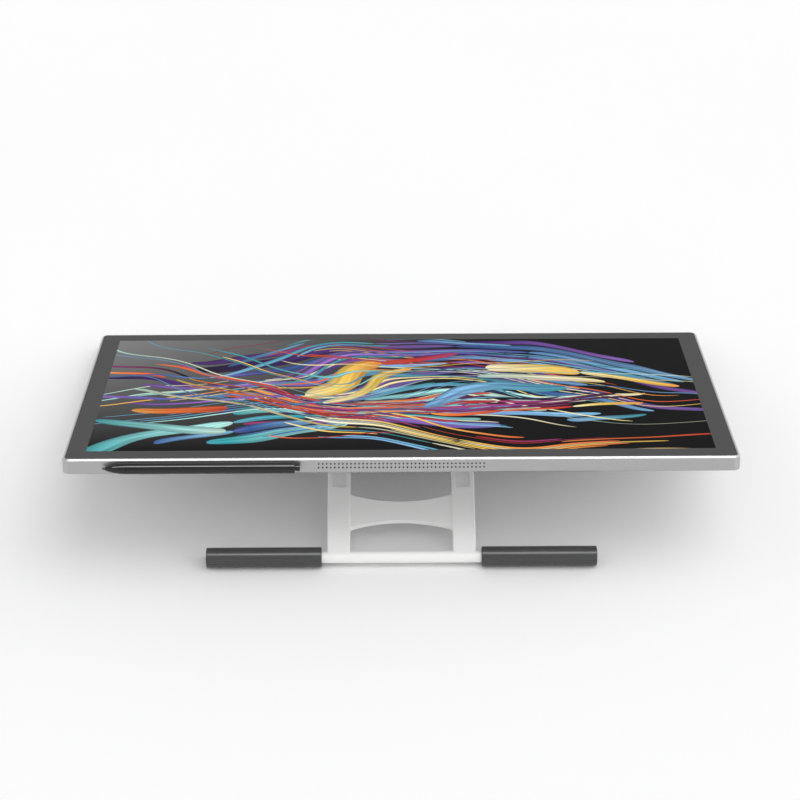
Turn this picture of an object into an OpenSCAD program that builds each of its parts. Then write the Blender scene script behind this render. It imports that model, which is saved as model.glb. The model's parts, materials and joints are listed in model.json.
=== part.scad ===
// Pen display on a swing-out stand, with its pen held along the raised edge.
// Millimetres, +Z up. The screen faces up; its far edge (+Y) rests on the desk, the stand lifts the other (-Y).
// Slab frame: x across, y from the raised edge (-) to the resting edge (+), z from the back (0) to the glass.
// Stand frame: origin on the hinge axis, the foot towards -y, the outer face towards +z.

/* [Display] */
// width of the lit screen area
screen_w = 527; // [440:1:620]
// depth of the lit screen area
screen_d = 296.5; // [270:0.5:340]
// border at the left and right of the screen
bezel_side = 18.5; // [14:0.5:24]
// border along the edge that rests on the desk
bezel_far = 19; // [13:0.1:22]
// border along the raised edge
bezel_near = 20; // [20:0.1:28]
// plan radius of the slab's corners
corner_r = 6; // [4:0.1:9]
// bright chamfer around the top of the rim
rim_chamfer = 1.3; // [0.8:0.1:2]
// small chamfer around the back of the rim
base_chamfer = 0.8; // [0.3:0.1:1]

/* [Layers] */
// cover glass
glass_t = 1.5; // [1:0.1:2]
// LCD panel
lcd_t = 1.2; // [0.8:0.1:1.6]
// diffuser sheet
diffuser_t = 0.6; // [0.5:0.1:1]
// light guide
guide_t = 2.5; // [2.4:0.1:4]
// reflector sheet
reflector_t = 0.3; // [0.2:0.1:0.6]
// sheet of the backlight tray
tray_t = 0.6; // [0.5:0.1:1]
// digitizer board
sensor_t = 0.8; // [0.6:0.1:1.6]
// shield plate
shield_t = 0.3; // [0.2:0.1:0.6]
// space for the electronics behind the shield
bay_h = 3.8; // [3.8:0.1:6]
// rear cover
cover_t = 1.2; // [1:0.1:1.5]

/* [Speaker holes] */
// diameter of each hole
hole_d = 1.4; // [1:0.1:2]
// spacing of the holes along the edge
hole_pitch = 3.35; // [2.8:0.05:3.6]
// holes in each row
hole_columns = 42; // [20:2:42]
// depth of the upper row below the glass top
hole_depth = 4.8; // [4.5:0.1:5.6]
// spacing of the two rows
row_pitch = 3.3; // [2.4:0.1:3.4]

/* [Stand] */
// tilt of the screen
tilt = 16.5; // [15:0.5:18]
// hinge axis, measured along the back from the resting edge
hinge_reach = 197; // [190:1:205]
// hinge axis below the back
hinge_drop = 9; // [9:0.1:10]
// hinge axis to foot axis
leg_len = 139; // [132:1:146]
// clear width between the rails
rail_gap = 87.6; // [70:0.2:110]
// width of a rail
rail_w = 19.5; // [18.5:0.1:24]
// thickness of a rail
rail_t = 8; // [7.4:0.1:9]
// trough milled into the rail
trough_w = 12.3; // [11.5:0.1:12.7]
// start of the trough, measured from the foot axis
trough_start = 69; // [60:1:90]
// middle of the lower brace, measured from the foot axis
brace_pos = 45; // [44:0.5:52]
// middle of the upper brace, measured from the foot axis
upper_brace_pos = 108; // [104:0.5:112]
// height of a brace at its middle
brace_h = 19.3; // [14:0.1:21]
// depth of the curve along each edge of a brace
brace_sag = 7.5; // [5:0.1:8.5]
// thickness of a brace
brace_t = 4.7; // [3.5:0.1:5]

/* [Foot] */
// diameter of the white tube between the sleeves
tube_d = 10.4; // [9.8:0.1:11]
// tube past each rail
tube_overhang = 4.5; // [2:0.1:10]
// diameter of the rubber sleeves
sleeve_d = 17; // [15:0.1:17.4]
// length of a rubber sleeve
sleeve_len = 98; // [60:0.1:130]
// diameter of the steel rod in the foot
rod_d = 5; // [4:0.1:6]
// diameter of the hinge pins
pin_d = 5; // [4:0.1:5.6]

/* [Pen] */
// length of the pen with its nib
pen_len = 164; // [150:1:180]
// diameter of the barrel
pen_d = 9.5; // [9.2:0.1:10.5]
// distance from the middle of the edge to the pen's tail
pen_offset = 84; // [80:0.5:95]

/* [Hidden] */
$fn = 64;
// gaps between fitted pieces, running shafts and covered edges
fit = 0.3;
run_gap = 0.05;
edge_gap = 0.1;
// tool overshoot for cuts
over = 1;

slab_w = screen_w + 2 * bezel_side;
slab_d = screen_d + bezel_far + bezel_near;
far_y = slab_d / 2;
near_y = -slab_d / 2;

shield_z = cover_t + bay_h;
sensor_z = shield_z + shield_t;
tray_z = sensor_z + sensor_t;
reflector_z = tray_z + tray_t;
guide_z = reflector_z + reflector_t;
diffuser_z = guide_z + guide_t;
lcd_z = diffuser_z + diffuser_t;
glass_z = lcd_z + lcd_t;
slab_t = glass_z + glass_t;

rim_lip = 0.9;
rim_w = rim_chamfer + rim_lip;
wall_t = 2.6;
cover_inset = 2;
flange_w = 8;
flange_t = 1.2;
gasket_t = 0.4;
ledge_t = 1.1;
ledge_top = glass_z - gasket_t;
ledge_z = ledge_top - ledge_t;
wall_in_y = near_y + wall_t;
wall_in_x = slab_w / 2 - wall_t;

lcd_border = 4;
lcd_tail = 6;
lcd_w = screen_w + 2 * lcd_border;
lcd_y0 = near_y + bezel_near - lcd_tail;
lcd_y1 = far_y - bezel_far + lcd_border;
lcd_d = lcd_y1 - lcd_y0;
window_gap = 1.5;
tray_lip = 3;
led_w = 2.2;

screw_inset = 5.3;
screw_r = 0.9;
screw_head_r = 1.9;
screw_head_h = 0.8;
end_screw_inset = 25;
cover_screw_span = slab_w - 2 * end_screw_inset;
side_screw_y = 50;

board_w = 145;
board_d = 100;
board_t = 1;
board_x = -150;
board_y = 10;
board_z = shield_z - 2.3;
board_inset = 5;
spacer_r = 2.5;
board_screw_r = 1;
chip_h = 1.1;
// chips on the main board: place of the middle, then width and depth
chips = [[-30, 18, 24, 24], [12, 20, 16, 16], [42, 6, 12, 20], [-34, -22, 30, 10], [14, -22, 36, 6]];

port_w = 8.9;
port_h = 3.15;
port_wall = 0.35;
port_depth = 8;
port_setback = 1;
port_board_t = shield_z - cover_t - port_h - edge_gap;
port_z = shield_z - port_board_t - port_h / 2;
port_ys = [96, 116];

hole_z = slab_t - hole_depth - row_pitch / 2;
grille_len = hole_pitch * (hole_columns - 1);
mesh_t = 0.3;
mesh_h = row_pitch + 2 * hole_d;
cone_t = 0.8;
speaker_len = (grille_len - 8) / 2;
speaker_z = cover_t + flange_t;
speaker_h = ledge_z - tray_t - speaker_z - edge_gap;
speaker_y0 = wall_in_y + mesh_t + cone_t;
speaker_d = 6;
speaker_wall = 0.8;

button_side = 30;
button_edge = 36;
button_x = -slab_w / 2 + button_side;
button_y = near_y + button_edge;
button_r = 4.5;
button_rise = 0.8;
button_lip = 1.3;
button_lip_t = 0.6;
switch_h = 2.2;

vent_count = 31;
vent_pitch = 6;
vent_len = 14;
vent_w = 2.2;
vent_edge = 27;
vent_y = near_y + vent_edge;

tube_r = tube_d / 2;
rod_r = rod_d / 2;
pin_r = pin_d / 2;
sleeve_r = sleeve_d / 2;
rail_x = rail_gap / 2 + rail_w / 2;
rail_z = tube_r - rail_t;
rail_chamfer = 0.8;
tube_len = 2 * (rail_gap / 2 + rail_w + tube_overhang);
sleeve_end = 4;
sleeve_round = 0.8;
brace_recess = 1.75;
brace_fillet = 3.5;
brace_r = (pow(rail_gap / 2, 2) + pow(brace_sag, 2)) / (2 * brace_sag);

washer_t = 0.6;
tongue_w = trough_w - 2 * (washer_t + 2 * edge_gap);
tongue_r = tube_r - 0.4;
slot_depth = tongue_r + 0.6;
trough_depth = rail_t * 0.7;
trough_step = rail_t * 0.2;
trough_len = leg_len - trough_start;
pin_head_r = 4.2;
pin_head_t = 1.2;
base_t = 2;
base_w = 28;
base_far = 16;
base_near = 24;
base_r = 3;
stop_near = 13;
stop_far = tube_r + 0.4;
stop_gap = 0.2;
hinge_screw_r = 1.2;
hinge_screw_head_r = 2.3;
hinge_screw_head_h = 1.2;
hinge_screw_xs = [-9.5, 9.5];
hinge_screw_ys = [-19, 11.5];
backing_t = 1.5;
backing_margin = 2;

pen_r = pen_d / 2;
pen_bore = pen_r - 1.15;
pen_flat = 0.6;
pen_y = near_y - edge_gap - pen_r + pen_flat;
pen_z = slab_t / 2;
pen_tip = -pen_offset - pen_len;
nib_r = 0.95;
nib_out = 2.2;
nib_len = 14;
nose_len = 17.5;
nose_tip_r = 1.5;
coil_r = 2.6;
coil_at = 11;
coil_len = 9;
spigot_len = 6;
tail_len = 4.2;
tail_r = pen_r - 1.8;
barrel_at = nib_out + nose_len;
barrel_len = pen_len - barrel_at - tail_len;
rocker_at = 42;
rocker_len = 22;
rocker_w = 3;
rocker_drop = pen_r - 1.05;
rocker_pin_r = 0.45;
rocker_pin_len = 4.4;
keeper_count = 3;
keeper_len = 25;
keeper_pitch = 45;
keeper_mid = barrel_at + barrel_len / 2;

// pose of the slab and the stand on the desk
edge_clear = 1.2;
lift = far_y * sin(tilt) + edge_clear;
hinge_y = far_y - hinge_reach;
hinge_pose_y = hinge_y * cos(tilt) - hinge_drop * sin(tilt);
hinge_pose_z = lift - hinge_y * sin(tilt) - hinge_drop * cos(tilt);
slope = asin((hinge_pose_z - sleeve_r) / leg_len);
opening = tilt + slope;
foot_pose_y = hinge_pose_y - leg_len * cos(slope);
pen_pose_y = pen_y * cos(tilt) + pen_z * sin(tilt);
front_y = min(foot_pose_y - sleeve_r, pen_pose_y - pen_r);
rear_y = far_y * cos(tilt) + (slab_t - rim_chamfer) * sin(tilt);
shift_y = -(front_y + rear_y) / 2;

pad_len = 150;
pad_x = 170;
pad_far = 4;
pad_near = 14;

cover_screw_xy = concat(
    [for (i = [-0.5, -1 / 6, 1 / 6, 0.5]) for (s = [-1, 1]) [i * cover_screw_span, s * (far_y - screw_inset)]],
    [for (s = [-1, 1]) for (t = [-1, 1]) [s * (slab_w / 2 - screw_inset), t * side_screw_y]]
);
board_hole_xy = [for (s = [-1, 1]) for (t = [-1, 1])
    [board_x + s * (board_w / 2 - board_inset), board_y + t * (board_d / 2 - board_inset)]];
hinge_screw_xy = [for (s = [-1, 1]) for (x = hinge_screw_xs) for (y = hinge_screw_ys)
    [s * rail_x + x, hinge_y + y]];

// Placing

module on_slab() {
    translate([0, shift_y, lift]) rotate([-tilt, 0, 0]) children();
}

module on_stand() {
    translate([0, hinge_pose_y + shift_y, hinge_pose_z]) rotate([slope, 0, 0]) children();
}

module on_pen(along) {
    translate([pen_tip + along, pen_y, pen_z]) rotate([0, 90, 0]) children();
}

module on_side(side) {
    if (side > 0) children();
    else mirror([1, 0, 0]) children();
}

// Shared shapes

module rounded_rect(w, d, r) {
    square([w - 2 * r, d], center = true);
    square([w, d - 2 * r], center = true);
    for (s = [-1, 1]) for (t = [-1, 1])
        translate([s * (w / 2 - r), t * (d / 2 - r)]) circle(r);
}

module inset_plate(inset, z, h) {
    translate([0, 0, z]) linear_extrude(h)
        rounded_rect(slab_w - 2 * inset, slab_d - 2 * inset, max(corner_r - inset, 0.5));
}

module lcd_plate(grow, z, h) {
    translate([-lcd_w / 2 - grow, lcd_y0 - grow, z]) cube([lcd_w + 2 * grow, lcd_d + 2 * grow, h]);
}

// Half profile of the slab, from the middle plane to a chamfered edge at half width w.
function slab_edge(w) = [[0, 0], [w - base_chamfer, 0], [w, base_chamfer], [w, slab_t - rim_chamfer],
    [w - rim_chamfer, slab_t], [0, slab_t]];

module slab_run(half, length) {
    for (s = [0, 180]) rotate([0, 0, s]) rotate([90, 0, 0]) linear_extrude(length, center = true)
        polygon(slab_edge(half));
}

module slab_body() {
    slab_run(slab_w / 2, slab_d - 2 * corner_r);
    rotate([0, 0, 90]) slab_run(slab_d / 2, slab_w - 2 * corner_r);
    for (s = [-1, 1]) for (t = [-1, 1])
        translate([s * (slab_w / 2 - corner_r), t * (slab_d / 2 - corner_r), 0])
            rotate_extrude() polygon(slab_edge(corner_r));
}

module stadium(w, h) {
    square([w - h, h], center = true);
    for (s = [-1, 1]) translate([s * (w - h) / 2, 0]) circle(h / 2);
}

module x_rod(r, length) {
    rotate([0, 90, 0]) cylinder(r = r, h = length, center = true);
}

module sunk_screw(r, head_r, head_h, length) {
    cylinder(r1 = head_r, r2 = r, h = head_h);
    cylinder(r = r, h = length);
}

module port_at(y, depth, grow) {
    translate([slab_w / 2 - port_setback - port_depth, y, port_z]) rotate([90, 0, 90])
        linear_extrude(depth) stadium(port_w + 2 * grow, port_h + 2 * grow);
}

// Slab

module rim_frame() {
    color("silver") on_slab() difference() {
        slab_body();
        inset_plate(rim_w, ledge_top, slab_t);
        lcd_plate(window_gap, ledge_z - over, ledge_t + 2 * over);
        inset_plate(wall_t, cover_t + flange_t, ledge_z - cover_t - flange_t);
        inset_plate(flange_w, cover_t - over, flange_t + 2 * over);
        inset_plate(cover_inset, -over, cover_t + over);
        for (i = [0 : hole_columns - 1]) for (j = [-0.5, 0.5])
            translate([(i - (hole_columns - 1) / 2) * hole_pitch, near_y + wall_t / 2, hole_z + j * row_pitch])
                rotate([90, 0, 0]) cylinder(d = hole_d, h = wall_t + 2 * over, center = true);
        for (y = port_ys) {
            port_at(y, port_depth + port_setback + over, fit);
            translate([wall_in_x - flange_w, y - port_w / 2 - over, cover_t])
                cube([flange_w, port_w + 2 * over, flange_t + over]);
        }
        for (p = cover_screw_xy) translate([p[0], p[1], cover_t - over])
            cylinder(r = screw_r + run_gap, h = flange_t + 2 * over);
    }
}

module cover_glass() {
    color("dimgray") on_slab() inset_plate(rim_w + edge_gap, glass_z, glass_t);
}

module glass_gasket() {
    color("black") on_slab() difference() {
        inset_plate(rim_w + fit, ledge_top, gasket_t);
        lcd_plate(window_gap + fit, ledge_top - over, gasket_t + 2 * over);
    }
}

module lcd_panel() {
    color("midnightblue") on_slab() lcd_plate(0, lcd_z, lcd_t);
}

module diffuser_sheet() {
    color("white") on_slab() lcd_plate(0, diffuser_z, diffuser_t);
}

module light_guide() {
    color("lightcyan") on_slab() translate([-lcd_w / 2, lcd_y0, guide_z])
        cube([lcd_w, lcd_d - led_w - fit, guide_t]);
}

module reflector_sheet() {
    color("gainsboro") on_slab() lcd_plate(0, reflector_z, reflector_t);
}

module led_strip() {
    color("khaki") on_slab() translate([-lcd_w / 2, lcd_y1 - led_w, guide_z])
        cube([lcd_w, led_w, guide_t - edge_gap]);
}

module backlight_tray() {
    color("slategray") on_slab() difference() {
        union() {
            lcd_plate(fit + tray_t, tray_z, ledge_z - tray_z);
            lcd_plate(fit + tray_t + tray_lip, ledge_z - tray_t, tray_t);
        }
        lcd_plate(fit, reflector_z, slab_t);
    }
}

module digitizer_board() {
    color("darkgreen") on_slab() lcd_plate(0, sensor_z, sensor_t);
}

module shield_plate() {
    color("lightgray") on_slab() lcd_plate(0, shield_z, shield_t);
}

module main_board() {
    color("green") on_slab() difference() {
        translate([board_x - board_w / 2, board_y - board_d / 2, board_z]) cube([board_w, board_d, board_t]);
        for (p = board_hole_xy) translate([p[0], p[1], board_z - over])
            cylinder(r = board_screw_r + run_gap, h = board_t + 2 * over);
    }
}

module board_chips() {
    color("black") on_slab() for (c = chips)
        translate([board_x + c[0] - c[2] / 2, board_y + c[1] - c[3] / 2, board_z - chip_h])
            cube([c[2], c[3], chip_h]);
}

module board_spacers() {
    color("gold") on_slab() for (p = board_hole_xy) translate([p[0], p[1], board_z + board_t])
        difference() {
            cylinder(r = spacer_r, h = shield_z - board_z - board_t);
            translate([0, 0, -over]) cylinder(r = board_screw_r + run_gap, h = bay_h);
        }
}

module board_screws() {
    color("silver") on_slab() for (p = board_hole_xy) translate([p[0], p[1], board_z - chip_h]) {
        cylinder(r = screw_head_r, h = chip_h);
        cylinder(r = board_screw_r, h = chip_h + board_t + over);
    }
}

module port_board() {
    y0 = port_ys[0] - port_w;
    y1 = port_ys[1] + port_w;
    color("green") on_slab() translate([lcd_w / 2 - 10, y0, shield_z - port_board_t])
        cube([wall_in_x - lcd_w / 2 + 10 - fit, y1 - y0, port_board_t]);
}

module port_socket(y) {
    color("gray") on_slab() {
        difference() {
            port_at(y, port_depth, 0);
            translate([over, 0, 0]) port_at(y, port_depth, -port_wall);
        }
        translate([slab_w / 2 - port_setback - port_depth, y - 3, port_z - 0.35])
            cube([port_depth - 1.5, 6, 0.7]);
    }
}

module grille_mesh() {
    color("black") on_slab() translate([-grille_len / 2 - 3, wall_in_y, hole_z - mesh_h / 2])
        cube([grille_len + 6, mesh_t, mesh_h]);
}

module speaker(side) {
    color("dimgray") on_slab() on_side(side) translate([2, speaker_y0, speaker_z]) difference() {
        cube([speaker_len, speaker_d, speaker_h]);
        translate([speaker_wall, -over, speaker_wall])
            cube([speaker_len - 2 * speaker_wall, speaker_d - speaker_wall + over,
                speaker_h - 2 * speaker_wall]);
    }
}

module speaker_cone(side) {
    color("black") on_slab() on_side(side)
        translate([2 + speaker_len / 2, speaker_y0, speaker_z + speaker_h / 2]) rotate([90, 0, 0])
            linear_extrude(cone_t) stadium(speaker_len, speaker_h);
}

module pen_magnets() {
    color("silver") on_slab() for (i = [-1 : keeper_count - 2])
        translate([pen_tip + keeper_mid + i * keeper_pitch - keeper_len / 2, wall_in_y, pen_z - 2])
            cube([keeper_len, 2, 4]);
}

module rear_cover() {
    color("lightgray") on_slab() difference() {
        inset_plate(cover_inset + edge_gap, 0, cover_t);
        for (p = cover_screw_xy) translate([p[0], p[1], 0]) {
            translate([0, 0, -edge_gap]) cylinder(r1 = screw_head_r + 2 * edge_gap, r2 = screw_r + edge_gap,
                h = screw_head_h + 2 * edge_gap);
            cylinder(r = screw_r + edge_gap, h = cover_t + over);
        }
        for (p = hinge_screw_xy) translate([p[0], p[1], -over])
            cylinder(r = hinge_screw_r + edge_gap, h = cover_t + 2 * over);
        for (i = [0 : vent_count - 1])
            translate([(i - (vent_count - 1) / 2) * vent_pitch, vent_y, -over]) rotate([0, 0, 90])
                linear_extrude(cover_t + 2 * over) stadium(vent_len, vent_w);
        translate([button_x, button_y, -over]) cylinder(r = button_r + run_gap, h = cover_t + 2 * over);
    }
}

module cover_screws() {
    color("gray") on_slab() for (p = cover_screw_xy) translate([p[0], p[1], 0])
        sunk_screw(screw_r, screw_head_r, screw_head_h, cover_t + flange_t - edge_gap);
}

module power_switch() {
    color("black") on_slab() translate([button_x - 3, button_y - 3, shield_z - switch_h])
        cube([6, 6, switch_h]);
}

module power_button() {
    color("gray") on_slab() translate([button_x, button_y, 0]) {
        translate([0, 0, -button_rise])
            cylinder(r = button_r, h = button_rise + cover_t + edge_gap + button_lip_t);
        translate([0, 0, cover_t + edge_gap]) cylinder(r = button_r + button_lip, h = button_lip_t);
    }
}

module rest_pad(side) {
    low_far = -(edge_clear + pad_far * sin(tilt)) / cos(tilt);
    low_near = -(edge_clear + pad_near * sin(tilt)) / cos(tilt);
    color("black") on_slab() on_side(side) translate([pad_x - pad_len / 2, 0, 0]) rotate([90, 0, 90])
        linear_extrude(pad_len) polygon([[far_y - pad_far, 0], [far_y - pad_near, 0],
            [far_y - pad_near, low_near], [far_y - pad_far, low_far]]);
}

// Hinge

module hinge_backing() {
    color("lightgray") on_slab() difference() {
        translate([-rail_x - base_w / 2 - backing_margin, hinge_y - base_near - backing_margin, cover_t])
            cube([2 * rail_x + base_w + 2 * backing_margin, base_far + base_near + 2 * backing_margin,
                backing_t]);
        for (p = hinge_screw_xy) translate([p[0], p[1], cover_t - over])
            cylinder(r = hinge_screw_r + run_gap, h = backing_t + 2 * over);
    }
}

// Depth of the open rail's outer face below the back, at a distance y from the hinge axis.
function rail_face(y) = (tube_r + stop_gap + sin(opening) * y) / cos(opening) - hinge_drop;

module hinge_bracket(side) {
    base_mid = (base_far - base_near) / 2;
    color("lightgray") on_slab() on_side(side) translate([rail_x, hinge_y, 0]) difference() {
        union() {
            translate([0, base_mid, -base_t]) linear_extrude(base_t)
                rounded_rect(base_w, base_far + base_near, base_r);
            translate([-tongue_w / 2, -tongue_r, -hinge_drop]) cube([tongue_w, 2 * tongue_r, hinge_drop]);
            translate([0, 0, -hinge_drop]) x_rod(tongue_r, tongue_w);
            translate([-rail_w / 2, 0, 0]) rotate([90, 0, 90]) linear_extrude(rail_w)
                polygon([[-stop_far, 0], [-stop_near, 0], [-stop_near, rail_face(-stop_near)],
                    [-stop_far, rail_face(-stop_far)]]);
        }
        translate([0, 0, -hinge_drop]) x_rod(pin_r + run_gap, rail_w);
        for (x = hinge_screw_xs) for (y = hinge_screw_ys) translate([x, y, -base_t]) {
            translate([0, 0, -edge_gap]) cylinder(r1 = hinge_screw_head_r + 2 * edge_gap,
                r2 = hinge_screw_r + edge_gap, h = hinge_screw_head_h + 2 * edge_gap);
            cylinder(r = hinge_screw_r + edge_gap, h = base_t + over);
        }
    }
}

module hinge_screws() {
    color("gray") on_slab() for (p = hinge_screw_xy) translate([p[0], p[1], -base_t])
        sunk_screw(hinge_screw_r, hinge_screw_head_r, hinge_screw_head_h,
            base_t + cover_t + backing_t - edge_gap);
}

module hinge_pin(side) {
    color("silver") on_stand() on_side(side) translate([rail_x, 0, 0]) {
        x_rod(pin_r, rail_w);
        translate([rail_w / 2 + pin_head_t / 2, 0, 0]) x_rod(pin_head_r, pin_head_t);
    }
}

module friction_washers() {
    color("tan") on_stand() for (s = [-1, 1]) for (t = [-1, 1])
        translate([s * rail_x + t * (trough_w / 2 - edge_gap - washer_t / 2), 0, 0]) difference() {
            x_rod(tongue_r, washer_t);
            x_rod(pin_r + run_gap, washer_t + over);
        }
}

// Stand

module rail_bar() {
    half = rail_w / 2;
    c = rail_chamfer;
    translate([rail_x, 0, 0]) rotate([90, 0, 0]) linear_extrude(leg_len)
        polygon([[-half, rail_z + c], [c - half, rail_z], [half - c, rail_z], [half, rail_z + c],
            [half, tube_r - c], [half - c, tube_r], [c - half, tube_r], [-half, tube_r - c]]);
}

module stand_rail(side) {
    color("white") on_stand() on_side(side) difference() {
        union() {
            rail_bar();
            translate([rail_x, 0, 0]) x_rod(tube_r, rail_w);
        }
        translate([rail_x - trough_w / 2, 0, 0]) rotate([90, 0, 90]) linear_extrude(trough_w)
            polygon([[-trough_len, tube_r - trough_step], [-slot_depth, tube_r - trough_depth],
                [-slot_depth, -tube_r - over], [tube_r + over, -tube_r - over], [tube_r + over, tube_r + over],
                [-trough_len, tube_r + over]]);
        translate([rail_x, 0, 0]) x_rod(pin_r + run_gap, rail_w + over);
        translate([rail_x, -leg_len, 0]) x_rod(rod_r + run_gap, rail_w + over);
    }
}

// Corner between a rail and the arc of the window above a brace, filled to a round of radius brace_fillet.
module window_corner(edge_y) {
    half = rail_gap / 2;
    arc_y = edge_y + brace_r;
    f = brace_fillet;
    fx = half - f;
    fy = arc_y - sqrt(pow(brace_r - f, 2) - pow(fx, 2));
    tangent = [0, arc_y] + brace_r / (brace_r - f) * [fx, fy - arc_y];
    difference() {
        polygon([[half, fy], [fx, fy], tangent, tangent - [0, over], [half, edge_y + brace_sag - over]]);
        translate([fx, fy]) circle(f);
    }
}

module brace_outline() {
    half = rail_gap / 2;
    end_h = brace_h / 2 + brace_sag;
    difference() {
        square([2 * half, 2 * end_h], center = true);
        for (s = [-1, 1]) translate([0, s * (brace_h / 2 + brace_r)]) circle(brace_r, $fn = 180);
    }
    for (s = [0, 1]) for (t = [0, 1]) mirror([s, 0]) mirror([0, t]) window_corner(brace_h / 2);
}

module brace(pos) {
    color("white") on_stand() translate([0, pos - leg_len, tube_r - brace_recess - brace_t])
        linear_extrude(brace_t) brace_outline();
}

module foot_tube() {
    color("white") on_stand() difference() {
        translate([0, -leg_len, 0]) x_rod(tube_r, tube_len);
        for (s = [-1, 1]) on_side(s) rail_bar();
        translate([0, -leg_len, 0]) x_rod(rod_r + run_gap, tube_len + over);
    }
}

module foot_rod() {
    color("gray") on_stand() translate([0, -leg_len, 0])
        x_rod(rod_r, tube_len + 2 * (sleeve_len - sleeve_end));
}

module foot_sleeve(side) {
    c = sleeve_round;
    bore = rod_r + run_gap;
    depth = sleeve_len - sleeve_end + fit;
    color("dimgray") on_stand() on_side(side) translate([tube_len / 2 + edge_gap, -leg_len, 0])
        rotate([0, 90, 0]) rotate_extrude() polygon([[bore, 0], [sleeve_r - c, 0], [sleeve_r, c],
            [sleeve_r, sleeve_len - c], [sleeve_r - c, sleeve_len], [0, sleeve_len], [0, depth], [bore, depth]]);
}

// Pen

module dock_side() {
    translate([pen_tip - over, near_y - edge_gap, pen_z - pen_d])
        cube([pen_len + 2 * over, pen_d, 2 * pen_d]);
}

module pen_barrel() {
    color("black") on_slab() difference() {
        on_pen(barrel_at) cylinder(r = pen_r, h = barrel_len);
        on_pen(barrel_at - over) cylinder(r = pen_bore, h = barrel_len + 2 * over);
        dock_side();
        translate([pen_tip + rocker_at - rocker_len / 2 - fit, pen_y - rocker_w / 2 - edge_gap,
            pen_z - pen_d]) cube([rocker_len + 2 * fit, rocker_w + 2 * edge_gap, pen_d]);
        translate([pen_tip + rocker_at, pen_y, pen_z - rocker_drop]) rotate([90, 0, 0])
            cylinder(r = rocker_pin_r + run_gap, h = rocker_pin_len + edge_gap, center = true);
    }
}

module pen_nose() {
    color("black") on_slab() difference() {
        on_pen(nib_out) rotate_extrude() polygon([[0, 0], [nose_tip_r, 0], [2.7, 3.5], [3.6, 7.5],
            [pen_r - 0.45, 12], [pen_r - 0.1, 15.5], [pen_r, nose_len], [pen_bore - edge_gap, nose_len],
            [pen_bore - edge_gap, nose_len + spigot_len], [0, nose_len + spigot_len]]);
        on_pen(0) cylinder(r = nib_r + run_gap, h = pen_len);
        on_pen(coil_at) cylinder(r = coil_r + edge_gap, h = pen_len);
        dock_side();
    }
}

module pen_tail() {
    c = 0.6;
    color("black") on_slab() on_pen(barrel_at + barrel_len) rotate_extrude()
        polygon([[0, -spigot_len], [pen_bore - edge_gap, -spigot_len], [pen_bore - edge_gap, 0], [tail_r, 0],
            [tail_r, tail_len - c], [tail_r - c, tail_len], [0, tail_len]]);
}

module pen_coil() {
    color("brown") on_slab() difference() {
        on_pen(coil_at) cylinder(r = coil_r, h = coil_len);
        on_pen(coil_at - over) cylinder(r = nib_r + 2 * edge_gap, h = coil_len + 2 * over);
    }
}

module pen_circuit() {
    strip_z = 2.2;
    strip_t = 0.8;
    strip_w = 2 * sqrt(pow(pen_bore, 2) - pow(strip_z + strip_t, 2)) - edge_gap;
    color("green") on_slab()
        translate([pen_tip + barrel_at + spigot_len + over, pen_y - strip_w / 2, pen_z + strip_z])
            cube([barrel_len - 2 * spigot_len - 2 * over, strip_w, strip_t]);
}

module pen_keepers() {
    keeper_t = 1;
    keeper_y = pen_bore - 0.6;
    keeper_h = 2 * sqrt(pow(pen_bore, 2) - pow(keeper_y, 2)) - edge_gap;
    color("silver") on_slab() for (i = [-1 : keeper_count - 2])
        translate([pen_tip + keeper_mid + i * keeper_pitch - keeper_len / 2, pen_y + keeper_y - keeper_t,
            pen_z - keeper_h / 2]) cube([keeper_len, keeper_t, keeper_h]);
}

module pen_nib() {
    color("dimgray") on_slab() on_pen(0) rotate_extrude()
        polygon([[0, 0], [0.5, 0.15], [0.85, 0.7], [nib_r, 1.6], [nib_r, nib_len], [0, nib_len]]);
}

module pen_button() {
    sink = 0.1;
    rocker_t = pen_r - pen_bore + fit - sink;
    color("gray") on_slab() {
        translate([pen_tip + rocker_at - rocker_len / 2, pen_y - rocker_w / 2, pen_z - pen_r + sink])
            cube([rocker_len, rocker_w, rocker_t]);
        translate([pen_tip + rocker_at, pen_y, pen_z - rocker_drop]) rotate([90, 0, 0])
            cylinder(r = rocker_pin_r, h = rocker_pin_len, center = true);
    }
}

rim_frame();
cover_glass();
glass_gasket();
lcd_panel();
diffuser_sheet();
light_guide();
reflector_sheet();
led_strip();
backlight_tray();
digitizer_board();
shield_plate();
main_board();
board_chips();
board_spacers();
board_screws();
port_board();
port_socket(port_ys[0]);  // port_socket_a
port_socket(port_ys[1]);  // port_socket_b
grille_mesh();
speaker(-1);  // speaker_left
speaker(1);  // speaker_right
speaker_cone(-1);  // speaker_cone_left
speaker_cone(1);  // speaker_cone_right
pen_magnets();
rear_cover();
cover_screws();
power_switch();
power_button();
hinge_backing();
hinge_bracket(-1);  // hinge_bracket_left
hinge_bracket(1);  // hinge_bracket_right
hinge_screws();
rest_pad(-1);  // rest_pad_left
rest_pad(1);  // rest_pad_right
stand_rail(-1);  // stand_rail_left
stand_rail(1);  // stand_rail_right
brace(brace_pos);  // lower_brace
brace(upper_brace_pos);  // upper_brace
foot_tube();
foot_rod();
foot_sleeve(-1);  // foot_sleeve_left
foot_sleeve(1);  // foot_sleeve_right
hinge_pin(-1);  // hinge_pin_left
hinge_pin(1);  // hinge_pin_right
friction_washers();
pen_barrel();
pen_nose();
pen_tail();
pen_coil();
pen_circuit();
pen_keepers();
pen_nib();
pen_button();
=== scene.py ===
# Looks of a pen display on a swing-out stand: finishes, rounded shells, pen, screws, light and camera.
import json
import math

import bmesh
import bpy
from mathutils import Matrix, Vector


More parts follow.
